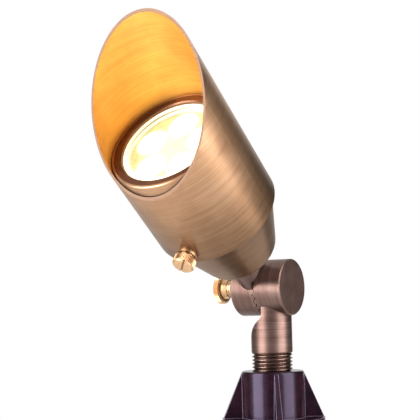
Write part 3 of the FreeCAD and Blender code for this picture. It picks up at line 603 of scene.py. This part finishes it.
def knuckle_screw():
    """The big thumbscrew, drawn from the knuckle outward along its own axis."""
    shank_radius = 3.1
    shank_end = -7.3
    barrel_end = 16.25
    collar_end = 24.3
    collar_radius = 4.3
    cone_end = 27.3
    cone_radius = 5.6
    head_end = 30.8
    ring_pitch = 1.15
    ring_half_width = 0.16
    ring_floor = 4.08
    teeth = 48
    knurl = straight_knurl(teeth, 7.45, 8.0)
    rings = [(shank_radius, shank_end), (shank_radius, barrel_end), (collar_radius, barrel_end)]
    for n in range(1, int((collar_end - barrel_end) / ring_pitch)):
        z = barrel_end + n * ring_pitch
        rings += [(collar_radius, z - ring_half_width), (ring_floor, z), (collar_radius, z + ring_half_width)]
    rings += [(collar_radius, collar_end), (4.75, collar_end + 0.1), (5.05, collar_end + 1.0)]
    rings += [(cone_radius, cone_end - 0.6), (cone_radius, cone_end)]
    rings += [(6.9, cone_end), (7.35, cone_end + 0.25), (knurl, cone_end + 0.55)]
    rings += [(knurl, head_end - 0.55), (7.35, head_end - 0.25), (6.9, head_end)]
    rings += [(5.4, head_end), (5.1, head_end - 0.3), (0.6, head_end - 0.3)]
    points, faces = lathe(rings, teeth * 4)
    piece = mesh_piece("knuckle_screw_detail", points, faces, BIG_SCREW, big_screw_metal, "knuckle_screw",
                       screw_sharp_deg)
    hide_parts("knuckle_thumbscrew")


def cut_slot(piece, place, width, depth, face_z, reach):
    """Cuts a screwdriver slot across a head, square to its axis."""
    spans = ((-width / 2, width / 2), (-reach, reach), (face_z - depth, face_z + 1))
    corners = list(itertools.product(*spans))
    faces = [(0, 1, 3, 2), (4, 6, 7, 5), (0, 4, 5, 1), (2, 3, 7, 6), (0, 2, 6, 4), (1, 5, 7, 3)]
    mesh = bpy.data.meshes.new("slot_cutter")
    mesh.from_pydata([place @ (Vector(c) * MM) for c in corners], [], faces)
    cutter = bpy.data.objects.new("slot_cutter", mesh)
    scene.collection.objects.link(cutter)
    cut = piece.modifiers.new("slot", "BOOLEAN")
    cut.operation = "DIFFERENCE"
    cut.solver = "EXACT"
    cut.object = cutter
    bpy.context.view_layer.update()
    evaluated = piece.evaluated_get(bpy.context.evaluated_depsgraph_get())
    result = bpy.data.meshes.new_from_object(evaluated)
    piece.modifiers.clear()
    piece.data = result
    result.polygons.foreach_set("use_smooth", [True] * len(result.polygons))
    result.set_sharp_from_angle(angle=math.radians(screw_sharp_deg))
    bpy.data.objects.remove(cutter)


def shroud_screw():
    """The small slotted thumbscrew; z = 0 lies 36 mm from the head's axis."""
    datum = 36.0
    tip = 30.7 - datum
    collar_low = 32.85 - datum
    head_low = 34.15 - datum
    head_high = 38.95 - datum
    shank_radius = 2.4
    collar_radius = 3.7
    slot_width = 0.9
    slot_depth = 0.9
    slot_reach = 7.0
    teeth = 44
    knurl = straight_knurl(teeth, 5.1, 5.42)
    rings = [(shank_radius, tip), (shank_radius, collar_low), (collar_radius, collar_low)]
    rings += [(collar_radius, head_low), (4.7, head_low), (5.0, head_low + 0.3)]
    rings += [(knurl, head_low + 0.45), (knurl, head_high - 0.75)]
    rings += [(5.0, head_high - 0.6), (4.75, head_high - 0.2), (4.3, head_high), (0.5, head_high)]
    points, faces = lathe(rings, teeth * 4)
    piece = mesh_piece("shroud_screw_detail", points, faces, SMALL_SCREW, small_screw_metal, "shroud_screw",
                       screw_sharp_deg)
    turned = SMALL_SCREW @ Matrix.Rotation(math.radians(slot_turn_deg), 4, "Z")
    cut_slot(piece, turned, slot_width, slot_depth, head_high, slot_reach)
    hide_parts("shroud_thumbscrew")


stem_thread()
knuckle_screw()
shroud_screw()


# ---- floor, light and camera ---------------------------------------------------------------
floor_radius = 1.1
fill_light = 0.55            # the world's strength where it isn't seen or mirrored


def disc(name, radius, centre, steps=96):
    turns = [2 * math.pi * n / steps for n in range(steps)]
    points = [(radius * math.cos(turn), radius * math.sin(turn), 0) for turn in turns]
    mesh = bpy.data.meshes.new(name)
    mesh.from_pydata(points, [], [tuple(range(steps))])
    made = bpy.data.objects.new(name, mesh)
    made.location = centre
    scene.collection.objects.link(made)
    return made


def studio_floor():
    material, tree, shader = new_material("pale_floor")
    grain = noise(tree, own_coordinates(tree), 6.0, 3.0)
    tree.links.new(ramp(tree, grain, (0.3, rgba(0.8, 0.8, 0.8)), (0.7, rgba(0.84, 0.84, 0.84))),
                   shader.inputs["Base Color"])
    shader.inputs["Roughness"].default_value = 0.8
    floor = disc("studio_floor", floor_radius, (0, 0, cad_box[0][2]))
    floor.data.materials.append(material)


def studio_world():
    """White where it is seen or mirrored, and a plain level of light elsewhere."""
    world = bpy.data.worlds.new("studio_world")
    world.use_nodes = True
    scene.world = world
    tree = world.node_tree
    background = tree.nodes["Background"]
    path = add(tree, "ShaderNodeLightPath")
    seen = maths(tree, "MAXIMUM", path.outputs["Is Camera Ray"], path.outputs["Is Glossy Ray"])
    seen = maths(tree, "MAXIMUM", seen, path.outputs["Is Transmission Ray"])
    tree.links.new(ranged(tree, seen, 0.0, 1.0, fill_light, 1.0), background.inputs["Strength"])
    background.inputs["Color"].default_value = rgba(1, 1, 1)


camera_azimuth = math.radians(31.05)
camera_elevation = math.radians(-4.67)
camera_roll = math.radians(-1.27)
camera_place = Vector((281.95, -527.99, 62.36)) * MM
camera_lens = 97.47          # on a sensor this wide
sensor_width = 36.0

camera_back = Vector((
    math.sin(camera_azimuth) * math.cos(camera_elevation),
    -math.cos(camera_azimuth) * math.cos(camera_elevation),
    math.sin(camera_elevation),
))
level_right = Vector((math.cos(camera_azimuth), math.sin(camera_azimuth), 0))
level_up = camera_back.cross(level_right)
camera_right = level_right * math.cos(camera_roll) + level_up * math.sin(camera_roll)
camera_up = camera_back.cross(camera_right)


def photo_camera():
    data = bpy.data.cameras.new("photo_camera")
    data.lens = camera_lens
    data.sensor_width = sensor_width
    data.clip_start = 0.01
    made = bpy.data.objects.new("photo_camera", data)
    scene.collection.objects.link(made)
    turn = Matrix((camera_right, camera_up, camera_back)).transposed().to_4x4()
    made.matrix_world = Matrix.Translation(camera_place) @ turn
    scene.camera = made


def from_camera(side_deg, up_deg, distance):
    """A place round the lamp head, by its angle from the camera's own direction."""
    side = math.radians(side_deg)
    up = math.radians(up_deg)
    direction = camera_back * math.cos(side) * math.cos(up)
    direction += level_right * math.sin(side) * math.cos(up)
    direction += Z_AXIS * math.sin(up)
    return HEAD_POINT + direction.normalized() * distance


def facing(place, target):
    return (target - place).to_track_quat("-Z", "Y").to_matrix().to_4x4()


def softbox(name, side_deg, up_deg, distance, width, height, power):
    data = bpy.data.lights.new(name, "AREA")
    data.shape = "RECTANGLE"
    data.size = width
    data.size_y = height
    data.energy = power
    made = bpy.data.objects.new(name, data)
    place = from_camera(side_deg, up_deg, distance)
    made.matrix_world = Matrix.Translation(place) @ facing(place, HEAD_POINT)
    scene.collection.objects.link(made)


def dark_card(name, side_deg, up_deg, distance, width, height, shade):
    """A card that only mirrored rays see, to draw dark bands on the metal."""
    half_x, half_y = width / 2, height / 2
    mesh = bpy.data.meshes.new(name)
    corners = [(-half_x, -half_y, 0), (half_x, -half_y, 0), (half_x, half_y, 0), (-half_x, half_y, 0)]
    mesh.from_pydata(corners, [], [(0, 1, 2, 3)])
    material, tree, shader = new_material(name)
    grain = noise(tree, own_coordinates(tree), 3.0)
    level = ranged(tree, grain, 0.3, 0.7, shade * 0.9, shade * 1.1)
    shader.inputs["Base Color"].default_value = rgba(0, 0, 0)
    shader.inputs["Specular IOR Level"].default_value = 0.0
    shader.inputs["Emission Color"].default_value = rgba(1, 1, 1)
    tree.links.new(level, shader.inputs["Emission Strength"])
    mesh.materials.append(material)
    card = bpy.data.objects.new(name, mesh)
    place = from_camera(side_deg, up_deg, distance)
    card.matrix_world = Matrix.Translation(place) @ facing(place, HEAD_POINT)
    for kind in ("camera", "diffuse", "transmission", "volume_scatter", "shadow"):
        setattr(card, "visible_" + kind, False)
    scene.collection.objects.link(card)


studio_floor()
studio_world()
photo_camera()
softbox("left_softbox", -62, 10, 1.1, 0.85, 1.3, 29)
softbox("right_softbox", 60, 18, 1.1, 0.9, 1.3, 22)
dark_card("front_card", 0, 0, 1.6, 1.3, 2.2, 0.2)
dark_card("right_card", 120, 0, 1.4, 1.6, 2.2, 0.05)
dark_card("left_card", -125, 0, 1.4, 1.5, 2.2, 0.18)

scene.view_settings.view_transform = "Standard"
